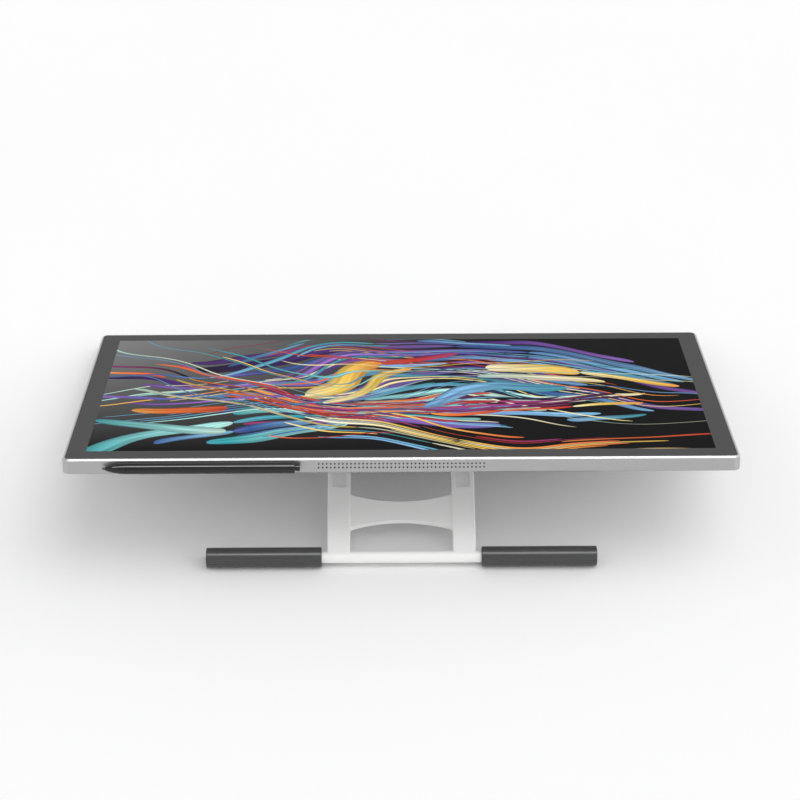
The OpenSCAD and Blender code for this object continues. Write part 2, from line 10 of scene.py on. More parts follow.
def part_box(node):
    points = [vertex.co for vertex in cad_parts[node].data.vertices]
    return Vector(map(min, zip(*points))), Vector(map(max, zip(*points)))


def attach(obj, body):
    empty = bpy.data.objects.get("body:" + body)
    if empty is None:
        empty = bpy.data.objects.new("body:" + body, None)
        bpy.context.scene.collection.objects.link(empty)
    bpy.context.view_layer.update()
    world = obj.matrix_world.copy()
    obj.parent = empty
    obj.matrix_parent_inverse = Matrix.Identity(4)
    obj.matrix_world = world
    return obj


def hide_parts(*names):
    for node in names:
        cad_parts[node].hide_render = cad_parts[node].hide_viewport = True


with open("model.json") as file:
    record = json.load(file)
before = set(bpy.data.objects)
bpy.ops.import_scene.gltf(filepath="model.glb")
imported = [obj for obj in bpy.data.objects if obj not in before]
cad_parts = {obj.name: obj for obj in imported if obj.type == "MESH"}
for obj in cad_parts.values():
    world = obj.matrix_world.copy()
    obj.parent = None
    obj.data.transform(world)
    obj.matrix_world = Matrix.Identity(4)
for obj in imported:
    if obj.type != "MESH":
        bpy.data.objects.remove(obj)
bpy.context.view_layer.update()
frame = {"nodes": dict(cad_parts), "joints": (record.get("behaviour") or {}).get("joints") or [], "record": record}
nodes = frame["nodes"]
record = frame["record"]
joints = {joint["name"]: joint for joint in frame["joints"]}
slot_of = {row["node"]: row["material_slot"] for row in record["subparts"]}
body_of = {node: body for body, members in record["behaviour"]["bodies"].items() for node in members}

MM = 0.001


# Places taken from the frame

def extents(name, axes):
    """Lowest and highest corner of a CAD node along the axes of a frame."""
    back = axes.inverted()
    points = [back @ v.co for v in nodes[name].data.vertices]
    low = Vector([min(p[i] for p in points) for i in range(3)])
    high = Vector([max(p[i] for p in points) for i in range(3)])
    return low, high


# Slab frame: x across, y from the raised edge to the resting edge, z from the back to the glass.
press_axis = Vector(joints["power_press"]["axis"])
tilt = math.atan2(press_axis.y, press_axis.z)
slab_axes = Matrix.Rotation(-tilt, 4, "X")
rim_low, rim_high = extents("rim_frame", slab_axes)
slab_middle = ((rim_low.x + rim_high.x) / 2, (rim_low.y + rim_high.y) / 2, rim_low.z)
slab = slab_axes @ Matrix.Translation(slab_middle)
slab_half_w = (rim_high.x - rim_low.x) / 2 / MM
slab_t = (rim_high.z - rim_low.z) / MM

# Stand frame: origin on the hinge axis, the foot towards -y, the outer face towards +z.
hinge = Vector(joints["stand_hinge"]["pos_m"])
rod_low, rod_high = (Vector(corner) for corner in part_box("foot_rod"))
foot = (rod_low + rod_high) / 2
slope = math.atan2(hinge.z - foot.z, hinge.y - foot.y)
stand = Matrix.Translation(hinge) @ Matrix.Rotation(slope, 4, "X")

# Pen frame: origin at the nib's tip, x along the pen, y towards the slab.
nib_low, nib_high = extents("pen_nib", slab)
pen = slab @ Matrix.Translation((nib_low.x, (nib_low.y + nib_high.y) / 2, (nib_low.z + nib_high.z) / 2))

# Lit area of the screen in the slab frame, inside the panel's own border, in mm
PANEL_BORDER = 4.0
PANEL_TAIL = 6.0
panel_low, panel_high = extents("lcd_panel", slab)
lit_x = panel_high.x / MM - PANEL_BORDER
lit_near = panel_low.y / MM + PANEL_TAIL
lit_far = panel_high.y / MM - PANEL_BORDER

# Bright chamfer and plan radius of the rim, as in the CAD, in mm
RIM_CHAMFER = 1.3
CORNER_R = 6.0


# Node helpers

def linear(code):
    """Linear colour of an sRGB hex value such as 0x8A8B8C."""
    parts = [(code >> shift & 255) / 255 for shift in (16, 8, 0)]
    return tuple(c / 12.92 if c <= 0.04045 else ((c + 0.055) / 1.055) ** 2.4 for c in parts) + (1.0,)


def add(tree, kind, *values, sockets=None, stops=None, **settings):
    """One node: values fill its inputs in order, sockets by name or number, and stops a colour ramp."""
    made = tree.nodes.new(kind)
    for key, value in settings.items():
        setattr(made, key, value)
    for key, value in {**dict(enumerate(values)), **(sockets or {})}.items():
        for item in value if isinstance(value, list) else [value]:
            if isinstance(item, bpy.types.Node):
                item = item.outputs[0]
            if isinstance(item, bpy.types.NodeSocket):
                tree.links.new(item, made.inputs[key])
            elif item is not None:
                made.inputs[key].default_value = item
    if stops:
        ramp = made.color_ramp
        while len(ramp.elements) < len(stops):
            ramp.elements.new(1.0)
        for element, (position, code) in zip(ramp.elements, stops):
            element.position = position
            element.color = linear(code)
    return made


MATH = "ShaderNodeMath"
VECTOR = "ShaderNodeVectorMath"
# inputs of a Mix node: factor 0, numbers 2 and 3, colours 6 and 7; its colour comes out at 2
MIX = "ShaderNodeMix"
NOISE = "ShaderNodeTexNoise"
SPREAD = "ShaderNodeMapRange"
SPLIT = "ShaderNodeSeparateXYZ"
JOIN = "ShaderNodeCombineXYZ"
RANDOM = "ShaderNodeTexWhiteNoise"


class Finish:
    """A material with one Principled shader and Object coordinates in millimetres of a chosen frame."""

    def __init__(self, name, place=Matrix.Identity(4), **shader):
        self.material = bpy.data.materials.new(name)
        self.material.use_nodes = True
        self.tree = self.material.node_tree
        self.tree.nodes.clear()
        here = place.inverted()
        coords = add(self.tree, "ShaderNodeTexCoord").outputs["Object"]
        self.place = add(self.tree, "ShaderNodeMapping", sockets={
            "Vector": coords, "Location": here.translation / MM, "Rotation": here.to_euler(),
            "Scale": (1 / MM,) * 3}).outputs[0]
        values = {key.replace("_", " "): value for key, value in shader.items()}
        self.shader = add(self.tree, "ShaderNodeBsdfPrincipled", sockets=values)
        add(self.tree, "ShaderNodeOutputMaterial", self.shader)

    def link(self, **sockets):
        """Feed sockets of the shader, named with _ for a space."""
        for key, value in sockets.items():
            self.tree.links.new(value, self.shader.inputs[key.replace("_", " ")])

    def grain(self, colour, tone, rough, size, depth, stretch=(1, 1, 1), spread=0.05):
        """Colour shifting to tone, roughness and relief from one noise whose grains are size mm wide."""
        tree = self.tree
        drawn = add(tree, VECTOR, self.place, stretch, operation="MULTIPLY")
        noise = add(tree, NOISE, sockets={"Vector": drawn, "Scale": 1 / size, "Detail": 3.0})
        colours = {0: noise, 6: linear(colour), 7: linear(tone)}
        shade = add(tree, MIX, sockets=colours, data_type="RGBA").outputs[2]
        gloss = add(tree, SPREAD, noise, 0.25, 0.75, rough - spread, rough + spread).outputs[0]
        heights = {"Height": noise, "Distance": depth * MM, "Strength": 1.0}
        relief = add(tree, "ShaderNodeBump", sockets=heights).outputs[0]
        self.link(Base_Color=shade, Roughness=gloss, Normal=relief)
        return shade, gloss

    def bars(self, axis, pitch, share):
        """Mask of bars across one axis: share of each pitch mm is 1."""
        along = add(self.tree, SPLIT, self.place).outputs[axis]
        turns = add(self.tree, MATH, along, pitch, operation="DIVIDE")
        part = add(self.tree, MATH, turns, operation="FRACT")
        return add(self.tree, MATH, part, share, operation="LESS_THAN").outputs[0]

    def paint(self, mask, under, code):
        """Colour under with an sRGB hex colour laid over it where the mask is 1, put on the shader."""
        colours = {0: mask, 6: under, 7: linear(code)}
        laid = add(self.tree, MIX, sockets=colours, data_type="RGBA").outputs[2]
        self.link(Base_Color=laid)
        return laid


# Screen picture

# Paint colours from dark to warm and back, by their place on the ramp
PALETTE = (
    (0.00, 0x17151F), (0.08, 0x4B2C72), (0.16, 0x8A63B5), (0.25, 0x3B5F9E), (0.33, 0x7FB0D8),
    (0.42, 0x2F8F96), (0.50, 0x9FD8D4), (0.58, 0xF3E9C6), (0.66, 0xE6C35A), (0.74, 0xE0703A),
    (0.83, 0xB8322F), (0.92, 0x9C3D78), (1.00, 0x17151F))
GROUND = 0x0D0D0F
# painted reflection: the colour that the far left corner of the ground lightens to, standing in for a reflection
# on the glass
GROUND_PAINTED_REFLECTION = 0x7E7E7F

STROKE_INPUTS = ("Turn", "Middle", "Swing", "Wave", "Shift", "Reach", "Flare", "Pitch", "Length", "Fill",
                 "Hue", "Span", "Seed")

# Waves of strokes from the back to the front: turn in degrees, lengths in mm, shift and hue in turns
STROKES = (
    (9, 26, 44, 660, 0.10, 116, 0.30, 13.0, 170, 1.00, 0.13, 0.10, 1.0),
    (-15, -42, 36, 540, 0.45, 76, 0.35, 15.0, 130, 0.95, 0.36, 0.14, 2.0),
    (-4, -6, 46, 620, 0.30, 120, 0.20, 2.6, 190, 0.34, 0.55, 0.30, 6.0),
    (5, 8, 52, 720, 0.72, 56, 0.45, 12.0, 120, 1.00, 0.78, 0.12, 3.0),
    (-7, 66, 34, 500, 0.18, 76, 0.25, 6.5, 130, 0.55, 0.24, 0.16, 4.0),
    (16, -70, 30, 580, 0.60, 76, 0.30, 6.0, 140, 0.60, 0.60, 0.20, 5.0),
    (-3, -24, 60, 640, 0.05, 60, 0.50, 20.0, 110, 0.55, 0.45, 0.25, 8.0),
    (11, 14, 40, 560, 0.85, 130, 0.20, 2.6, 210, 0.20, 0.30, 0.40, 7.0),
)

# In mm: grain and reach of the slow drift of the lines, half the width over which strokes thin out, and
# length of the streaks that a brush leaves
DRIFT_GRAIN = 160.0
DRIFT = 60.0
FADE_X = 290.0
STREAK_LENGTH = 70.0
# Streaks across a lane, half widths of strokes in lanes, and the power that rounds their ends
STREAKS = 6.0
HALF_WIDTHS = (0.22, 0.52)
END_POWER = 7.0
# Light of streaks and of lanes, from least to most, and of a stroke in its middle and at its edge
STREAK_LIGHT = (0.5, 1.25)
LANE_LIGHT = (0.75, 1.5)
EDGE_LIGHT = (1.0, 0.5)
# In turns of the palette: luck of a stroke to each side, and its change from end to end
HUE_LUCK = 0.17
HUE_CHANGE = 0.10
# Lanes swell at this share of the waves' rate, and start by chance within this many strokes
SWELL_RATE = 0.6
STARTS = 29.0
# The painted reflection that lightens the far left corner of the ground ends at this share of the half width right
# of the middle
PAINTED_REFLECTION_END = 0.2


def paint_strokes():
    """Node group: a wave of paint strokes laid side by side along a bent line; its lengths are in mm."""
    group = bpy.data.node_groups.new("paint_strokes", "ShaderNodeTree")
    group.interface.new_socket("Place", in_out="INPUT", socket_type="NodeSocketVector")
    for name in STROKE_INPUTS:
        group.interface.new_socket(name, in_out="INPUT", socket_type="NodeSocketFloat")
    group.interface.new_socket("Colour", in_out="OUTPUT", socket_type="NodeSocketColor")
    group.interface.new_socket("Cover", in_out="OUTPUT", socket_type="NodeSocketFloat")
    given = add(group, "NodeGroupInput").outputs

    # the bent line and the distance from it, in lanes
    swing = {"Vector": given["Place"], "Angle": given["Turn"]}
    swung = add(group, "ShaderNodeVectorRotate", sockets=swing, rotation_type="Z_AXIS")
    x, y, _ = add(group, SPLIT, swung).outputs
    turns = add(group, MATH, x, given["Wave"], operation="DIVIDE")
    moved = add(group, MATH, turns, given["Shift"])
    angle = add(group, MATH, moved, math.tau, operation="MULTIPLY")
    wave = add(group, MATH, angle, operation="SINE")
    line = add(group, MATH, wave, given["Swing"], given["Middle"], operation="MULTIPLY_ADD")
    drift = add(group, NOISE, noise_dimensions="4D", sockets={
        "Vector": given["Place"], "W": given["Seed"], "Scale": 1 / DRIFT_GRAIN, "Detail": 1.0})
    sway = add(group, SPREAD, drift, 0.0, 1.0, -DRIFT, DRIFT)
    bent = add(group, MATH, line, sway)
    slower = add(group, MATH, angle, SWELL_RATE, operation="MULTIPLY")
    swell = add(group, MATH, slower, operation="COSINE")
    widen = add(group, MATH, swell, given["Flare"], 1.0, operation="MULTIPLY_ADD")
    width = add(group, MATH, given["Pitch"], widen, operation="MULTIPLY")
    away = add(group, MATH, y, bent, operation="SUBTRACT")
    lanes = add(group, MATH, away, width, operation="DIVIDE")
    lane = add(group, MATH, lanes, operation="FLOOR")
    across = add(group, MATH, lanes, operation="FRACT")

    # each lane is cut into strokes of its own length
    lane_key = add(group, JOIN, lane, given["Seed"], 0.5)
    lane_luck = add(group, RANDOM, lane_key).outputs["Color"]
    luck_a, luck_b, luck_c = add(group, SPLIT, lane_luck).outputs
    share = add(group, MATH, luck_a, 0.5)
    length = add(group, MATH, share, given["Length"], operation="MULTIPLY")
    start = add(group, MATH, luck_b, STARTS, operation="MULTIPLY")
    lengths = add(group, MATH, x, length, operation="DIVIDE")
    steps = add(group, MATH, lengths, start)
    step = add(group, MATH, steps, operation="FLOOR")
    part = add(group, MATH, steps, operation="FRACT")
    luck = add(group, RANDOM, add(group, JOIN, lane, step, given["Seed"])).outputs["Color"]
    keep, thick, tint = add(group, SPLIT, luck).outputs

    # strokes thin out away from the line and towards the ends of the screen
    lane_middle = add(group, MATH, lane, 0.5)
    middle_y = add(group, MATH, lane_middle, given["Pitch"], operation="MULTIPLY")
    lane_off = add(group, MATH, middle_y, given["Reach"], operation="DIVIDE")
    fade_y = add(group, MATH, lane_off, lane_off, operation="MULTIPLY")
    step_middle = add(group, MATH, step, 0.5)
    step_off = add(group, MATH, step_middle, start, operation="SUBTRACT")
    middle_x = add(group, MATH, step_off, length, operation="MULTIPLY")
    off_x = add(group, MATH, middle_x, FADE_X, operation="DIVIDE")
    fade_x = add(group, MATH, off_x, off_x, operation="MULTIPLY")
    loss = add(group, MATH, fade_x, fade_y)
    rest = add(group, MATH, 1.0, loss, operation="SUBTRACT")
    chance = add(group, MATH, rest, given["Fill"], operation="MULTIPLY")
    there = add(group, MATH, keep, chance, operation="LESS_THAN")

    # round brush ends, and a body that is lighter along its middle
    centred = add(group, MATH, part, 2.0, -1.0, operation="MULTIPLY_ADD")
    ends = add(group, MATH, centred, operation="ABSOLUTE")
    drop = add(group, MATH, ends, END_POWER, operation="POWER")
    left = add(group, MATH, 1.0, drop, operation="SUBTRACT")
    taper = add(group, MATH, left, operation="SQRT")
    fullness = add(group, SPREAD, thick, 0.0, 1.0, *HALF_WIDTHS)
    half = add(group, MATH, fullness, taper, operation="MULTIPLY")
    off_middle = add(group, MATH, across, 0.5, operation="SUBTRACT")
    off_side = add(group, MATH, off_middle, operation="ABSOLUTE")
    side = add(group, MATH, off_side, half, operation="DIVIDE")
    inside = add(group, MATH, side, 1.0, operation="LESS_THAN")
    cover = add(group, MATH, inside, there, operation="MULTIPLY")
    bulge = add(group, MATH, side, 2.0, operation="POWER")
    body = add(group, SPREAD, bulge, 0.0, 1.0, *EDGE_LIGHT)
    along = add(group, MATH, x, 1 / STREAK_LENGTH, operation="MULTIPLY")
    hair = add(group, MATH, lanes, STREAKS, operation="MULTIPLY")
    hairs = add(group, JOIN, along, hair, given["Seed"])
    bristles = add(group, NOISE, sockets={"Vector": hairs, "Scale": 1.0, "Detail": 2.0})
    streak = add(group, SPREAD, bristles, 0.3, 0.7, *STREAK_LIGHT)
    streaked = add(group, MATH, body, streak, operation="MULTIPLY")
    load = add(group, SPREAD, luck_c, 0.0, 1.0, *LANE_LIGHT)
    light = add(group, MATH, streaked, load, operation="MULTIPLY")

    # colour by the place in the wave, with some luck, changing along the stroke
    zone = add(group, MATH, lane_off, given["Span"], given["Hue"], operation="MULTIPLY_ADD")
    chosen = add(group, SPREAD, tint, 0.0, 1.0, -HUE_LUCK, HUE_LUCK)
    mixed = add(group, MATH, zone, chosen)
    change = add(group, MATH, part, HUE_CHANGE, operation="MULTIPLY")
    shift = add(group, MATH, mixed, change)
    wrapped = add(group, MATH, shift, operation="FRACT")
    pigment = add(group, "ShaderNodeValToRGB", wrapped, stops=PALETTE)
    colour = add(group, VECTOR, pigment, sockets={"Scale": light}, operation="SCALE")
    add(group, "NodeGroupOutput", colour, cover)
    return group


def screen_picture(finish):
    """Waves of paint strokes over a dark ground, with a painted reflection that lightens the far left corner."""
    tree = finish.tree
    x, y, _ = add(tree, SPLIT, finish.place).outputs
    # painted reflection of a bright area on the glass: the ground lightens towards the far left corner
    far = add(tree, SPREAD, y, lit_near, lit_far, 0.0, 1.0)
    left = add(tree, SPREAD, x, -lit_x, PAINTED_REFLECTION_END * lit_x, 1.0, 0.0)
    painted_reflection = add(tree, MATH, far, left, operation="MULTIPLY")
    colours = {0: painted_reflection, 6: linear(GROUND), 7: linear(GROUND_PAINTED_REFLECTION)}
    shown = add(tree, MIX, sockets=colours, data_type="RGBA").outputs[2]
    group = paint_strokes()
    for row in STROKES:
        values = dict(zip(STROKE_INPUTS, row), Place=finish.place)
        values["Turn"] = math.radians(values["Turn"])
        wave = add(tree, "ShaderNodeGroup", node_tree=group, sockets=values).outputs
        colours = {0: wave["Cover"], 6: shown, 7: wave["Colour"]}
        shown = add(tree, MIX, sockets=colours, data_type="RGBA", clamp_result=True).outputs[2]
    return shown


# Finishes of the outside

def anodised_aluminium():
    """Bead-blasted, then anodised: an even silver satin, with the long chamfers cut bright afterwards."""
    finish = Finish("anodised_aluminium", slab, Metallic=1.0)
    # beads leave pits near 0.1 mm, drawn three times as wide so that they show
    shade, gloss = finish.grain(0xAAAAAA, 0xB5B5B5, 0.36, size=0.3, depth=0.002)
    tree = finish.tree
    x, _, z = add(tree, SPLIT, finish.place).outputs
    edge_slack = 0.02
    top = add(tree, MATH, z, slab_t - RIM_CHAMFER + edge_slack, operation="GREATER_THAN")
    side = add(tree, MATH, x, operation="ABSOLUTE")
    # the bright cut fades out in the corners
    fade_from = slab_half_w - CORNER_R
    fade_to = slab_half_w - 0.4 * CORNER_R
    long_edge = add(tree, SPREAD, side, fade_from, fade_to, 1.0, 0.0)
    cut = add(tree, MATH, top, long_edge, operation="MULTIPLY").outputs[0]
    finish.paint(cut, shade, 0xA6A6A6)
    cut_rough = 0.2
    polish = add(tree, MIX, sockets={0: cut, 2: gloss, 3: cut_rough}).outputs[0]
    finish.link(Roughness=polish)
    return finish.material


def powder_coat():
    """White polyester powder baked on metal: matte with a shallow orange peel."""
    finish = Finish("white_powder_coat", stand, IOR=1.5)
    finish.grain(0xF5F5F4, 0xF9F9F8, 0.55, size=1.4, depth=0.006)
    return finish.material


def silver_paint():
    """Silver-grey paint on the back sheet: satin, with a fine flake and a faint orange peel."""
    finish = Finish("silver_paint", slab, IOR=1.5)
    finish.grain(0xB9B9BA, 0xC2C2C3, 0.42, size=0.8, depth=0.004)
    return finish.material


def sleeve_rubber():
    """Extruded rubber sleeve: dark grey satin with faint die lines along its length."""
    finish = Finish("extruded_rubber", stand, IOR=1.38)
    finish.grain(0x434344, 0x4B4B4C, 0.28, size=0.7, depth=0.004, stretch=(0.02, 1, 1))
    return finish.material


def pen_plastic():
    """Moulded plastic with a thin lacquer: near black with a narrow crisp highlight."""
    finish = Finish("lacquered_abs", pen, IOR=1.48)
    finish.grain(0x0F0F10, 0x151516, 0.1, size=0.5, depth=0.0004, spread=0.02)
    return finish.material


def pen_button_plastic():
    """Moulded plastic key of the pen: black satin."""
    finish = Finish("satin_abs", pen, IOR=1.53)
    finish.grain(0x303031, 0x383839, 0.35, size=0.4, depth=0.003)
    return finish.material


def nib_plastic():
    """Turned acetal nib: dark grey and slippery, with fine tool rings."""
    finish = Finish("acetal", pen, IOR=1.48)
    finish.grain(0x2A2A2B, 0x353536, 0.35, size=0.15, depth=0.004, stretch=(1, 0.05, 0.05))
    return finish.material


def pad_rubber():
    """Moulded silicone foot: black and matte, with a fine pebbled sole."""
    finish = Finish("silicone_rubber", slab, IOR=1.43)
    finish.grain(0x1B1B1C, 0x252526, 0.62, size=0.9, depth=0.02)
    return finish.material


def plated_steel():
    """Nickel-plated pressed steel: bright, with rolling lines across the sheet."""
    finish = Finish("nickel_plated_steel", slab, Metallic=1.0)
    finish.grain(0xB2B0AC, 0xBDBBB7, 0.3, size=0.5, depth=0.0006, stretch=(0.04, 1, 1))
    return finish.material


def button_plastic():
    """Moulded plastic key with a spark-eroded texture: mid grey satin."""
    finish = Finish("eroded_abs", slab, IOR=1.53)
    finish.grain(0x6A6B6C, 0x767778, 0.45, size=0.3, depth=0.006)
    return finish.material


def screen_glass():
    """Etched cover glass with a grey border print round the lit panel, coated against reflections."""
    finish = Finish("etched_glass", slab, IOR=1.5, Specular_IOR_Level=0.005)
    tree = finish.tree
    border, _ = finish.grain(0x4E4E4E, 0x525252, 0.3, size=0.4, depth=0.0006, spread=0.03)
    x, y, _ = add(tree, SPLIT, finish.place).outputs
    side = add(tree, MATH, x, operation="ABSOLUTE")
    inside = add(tree, MATH, side, lit_x, operation="LESS_THAN")
    for limit, test in ((lit_near, "GREATER_THAN"), (lit_far, "LESS_THAN")):
        edge = add(tree, MATH, y, limit, operation=test)
        inside = add(tree, MATH, inside, edge, operation="MULTIPLY")
    colours = {0: inside, 6: border, 7: screen_picture(finish)}
    shown = add(tree, MIX, sockets=colours, data_type="RGBA").outputs[2]
    finish.link(Base_Color=shown)
    return finish.material


# Finishes inside

def panel_glass():
    """Polished panel glass over a colour filter, whose columns are drawn 2 mm wide so that they show."""
    finish = Finish("polished_panel_glass", slab, IOR=1.52)
    shade, _ = finish.grain(0x17181C, 0x1D1E24, 0.12, size=3.0, depth=0.0)
    finish.paint(finish.bars("X", 2.0, 0.3), shade, 0x23283A)
    return finish.material


def gasket_foam():
    """Closed-cell foam tape: black, with open pores along its cut face."""
    finish = Finish("closed_cell_foam", slab, IOR=1.4)
    finish.grain(0x18181A, 0x2B2B2D, 0.85, size=0.5, depth=0.08)
    return finish.material


def guide_acrylic():
    """Polished acrylic light guide with printed white dots 1.2 mm across."""
    finish = Finish("polished_acrylic", slab, IOR=1.49)
    shade, _ = finish.grain(0xD4E2E4, 0xDCE8EA, 0.08, size=20, depth=0.0, spread=0.02)
    dot_pitch = 3.0
    dot_r = 0.6
    cells = add(finish.tree, "ShaderNodeTexVoronoi", sockets={
        "Vector": finish.place, "Scale": 1 / dot_pitch, "Randomness": 0.0})
    dots = add(finish.tree, MATH, cells, dot_r / dot_pitch, operation="LESS_THAN").outputs[0]
    finish.paint(dots, shade, 0xFAFAFA)
    return finish.material


def white_film():
    """Calendered white film: matte, with faint lines from the roller."""
    finish = Finish("calendered_pet", slab, IOR=1.57)
    finish.grain(0xE8E8E6, 0xF0F0EE, 0.6, size=1.2, depth=0.004, stretch=(0.03, 1, 1))
    return finish.material


def led_board():
    """Narrow white board with moulded lamps every 8 mm, yellow where the phosphor shows."""
    finish = Finish("white_solder_mask", slab, IOR=1.5)
    shade, _ = finish.grain(0xD8D6CC, 0xE2E0D8, 0.5, size=0.6, depth=0.004)
    finish.paint(finish.bars("X", 8.0, 0.45), shade, 0xE9D76A)
    return finish.material


def tray_aluminium():
    """Plain rolled aluminium sheet: soft grey with rolling streaks."""
    finish = Finish("rolled_aluminium", slab, Metallic=1.0)
    finish.grain(0x9FA2A5, 0xB4B6B8, 0.42, size=0.8, depth=0.004, stretch=(0.03, 1, 1))
    return finish.material


def circuit_board():
    """Glass-fibre board under green solder mask, with copper tracks every 2.4 mm and tinned pads."""
    finish = Finish("solder_mask", slab, IOR=1.5)
    shade, _ = finish.grain(0x0F4A2A, 0x14552F, 0.35, size=0.8, depth=0.004)
    tracks = finish.paint(finish.bars("Y", 2.4, 0.3), shade, 0x1C6B3C)
    pad_pitch = 5.0
    pad_r = 0.8
    cells = add(finish.tree, "ShaderNodeTexVoronoi", sockets={
        "Vector": finish.place, "Scale": 1 / pad_pitch})
    pads = add(finish.tree, MATH, cells, pad_r / pad_pitch, operation="LESS_THAN").outputs[0]
    finish.paint(pads, tracks, 0xBFC0BC)
    return finish.material


def chip_plastic():
    """Moulded epoxy packages: near black, matte and slightly pitted."""
    finish = Finish("moulded_epoxy", slab, IOR=1.55)
    finish.grain(0x1D1D1F, 0x272729, 0.55, size=0.25, depth=0.006)
    return finish.material


def turned_brass():
    """Turned brass pillars: yellow metal with fine tool rings."""
    finish = Finish("turned_brass", slab, Metallic=1.0)
    finish.grain(0xB9963F, 0xCBAA55, 0.3, size=0.2, depth=0.004, stretch=(0.05, 0.05, 1))
    return finish.material


def black_mesh():
    """Woven black mesh behind the speaker holes, its threads drawn 0.4 mm apart so that they show."""
    finish = Finish("woven_polyester", slab, IOR=1.5)
    shade, _ = finish.grain(0x0E0E0F, 0x141416, 0.8, size=0.3, depth=0.02)
    warp = finish.paint(finish.bars("X", 0.4, 0.4), shade, 0x1D1D1F)
    finish.paint(finish.bars("Z", 0.4, 0.4), warp, 0x232325)
    return finish.material


def speaker_plastic():
    """Moulded speaker boxes and pulp cones: matte black with a fine tooth."""
    finish = Finish("glass_filled_abs", slab, IOR=1.53)
    finish.grain(0x222224, 0x2C2C2E, 0.6, size=0.5, depth=0.01)
    return finish.material


def friction_fibre():
    """Pressed fibre washers: tan, with short hairs in all directions."""
    finish = Finish("pressed_fibre", stand, IOR=1.5)
    finish.grain(0xA58B62, 0xC2A87C, 0.75, size=0.25, depth=0.02)
    return finish.material


def copper_coil():
    """Enamelled copper wire in close turns, drawn 0.3 mm apart so that they show."""
    finish = Finish("enamelled_copper", pen, Metallic=1.0)
    shade, _ = finish.grain(0xB46A3C, 0xC67C4A, 0.25, size=0.3, depth=0.01, stretch=(1, 0.1, 0.1))
    finish.paint(finish.bars("X", 0.3, 0.3), shade, 0x6E3B20)
    return finish.material


finishes = {
    "anodised_aluminium": anodised_aluminium(),
    "cover_glass": screen_glass(),
    "panel_glass": panel_glass(),
    "foam": gasket_foam(),
    "clear_acrylic": guide_acrylic(),
    "white_film": white_film(),
    "led_board": led_board(),
    "tray_aluminium": tray_aluminium(),
    "circuit_board": circuit_board(),
    "chip_plastic": chip_plastic(),
    "brass": turned_brass(),
    "steel": plated_steel(),
    "black_mesh": black_mesh(),
    "speaker_plastic": speaker_plastic(),
    "button_plastic": button_plastic(),
    "pad_rubber": pad_rubber(),
    "white_coat": powder_coat(),
    "silver_paint": silver_paint(),
    "sleeve_rubber": sleeve_rubber(),
    "friction_fibre": friction_fibre(),
    "pen_plastic": pen_plastic(),
    "copper_coil": copper_coil(),
    "nib_plastic": nib_plastic(),
    "pen_button_plastic": pen_button_plastic(),
}
for name, piece in nodes.items():
    piece.data.materials.clear()
    piece.data.materials.append(finishes[slot_of[name]])


# Shells in place of CAD nodes

def hang(name, mesh):
    """New object in the scene, at the origin."""
    made = bpy.data.objects.new(name, mesh)
    bpy.context.scene.collection.objects.link(made)
    return made


def settle(draft):
    """Plain mesh of an object with its modifiers worked in; the object goes."""
    depsgraph = bpy.context.evaluated_depsgraph_get()
    mesh = bpy.data.meshes.new_from_object(draft.evaluated_get(depsgraph), depsgraph=depsgraph)
    bpy.data.objects.remove(draft)
    return mesh


def stand_for(mesh, node, name):
    """Finished piece that shows a mesh instead of a CAD node, with the node's body and finish."""
    mesh.name = name
    mesh.materials.clear()
    mesh.materials.append(finishes[slot_of[node]])
    piece = hang(name, mesh)
    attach(piece, body_of[node])
    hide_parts(node)
    return piece


def merged(name):
    """Bmesh of a CAD node with its loose triangles joined and its flat faces made whole."""
    source = nodes[name].data
    work = bmesh.new()
    spots = [work.verts.new(v.co) for v in source.vertices]
    for face in source.polygons:
        work.faces.new([spots[i] for i in face.vertices])
    bmesh.ops.remove_doubles(work, verts=work.verts, dist=0.002 * MM)
    bmesh.ops.dissolve_limit(work, angle_limit=math.radians(0.5), verts=work.verts, edges=work.edges)
    return work


def rounded(node, width, steps=3):
    """CAD node with its edges rounded by a radius of width mm."""
    work = merged(node)
    mesh = bpy.data.meshes.new(node)
    work.to_mesh(mesh)
    work.free()
    for face in mesh.polygons:
        face.use_smooth = True
    draft = hang(node + "_draft", mesh)
    edge = draft.modifiers.new("edges", "BEVEL")
    edge.width = width * MM
    edge.segments = steps
    edge.limit_method = "ANGLE"
    edge.angle_limit = math.radians(28)
    edge.harden_normals = True
    stand_for(settle(draft), node, node + "_rounded")


def turned(profile, place, flat=None, steps=72):
    """Mesh of (distance, radius) points in mm turned about the x axis of a frame; flat cuts the +y side."""
    work = bmesh.new()
    rings = []
    for along, radius in profile:
        count = steps if radius > 0 else 1
        ring = []
        for i in range(count):
            angle = math.tau * i / steps
            y = radius * math.cos(angle)
            if flat is not None:
                y = min(y, flat)
            ring.append(work.verts.new((along * MM, y * MM, radius * math.sin(angle) * MM)))
        rings.append(ring)
    for first, second in zip(rings, rings[1:]):
        for i in range(steps):
            j = (i + 1) % steps
            spots = ((first, i), (second, i), (second, j), (first, j))
            corners = [ring[k % len(ring)] for ring, k in spots]
            work.faces.new(list(dict.fromkeys(corners)))
    bmesh.ops.transform(work, matrix=place, verts=work.verts)
    bmesh.ops.recalc_face_normals(work, faces=work.faces)
    mesh = bpy.data.meshes.new("turned")
    work.to_mesh(mesh)
    work.free()
    for face in mesh.polygons:
        face.use_smooth = True
    mesh.set_sharp_from_angle(angle=math.radians(30))
    return mesh


def arc(middle, radius, start, end, steps=6):
    """Points of an arc round a (distance, radius) middle, from one angle in degrees to another."""
    angles = [math.radians(start + (end - start) * i / steps) for i in range(steps + 1)]
    return [(middle[0] + radius * math.cos(a), middle[1] + radius * math.sin(a)) for a in angles]


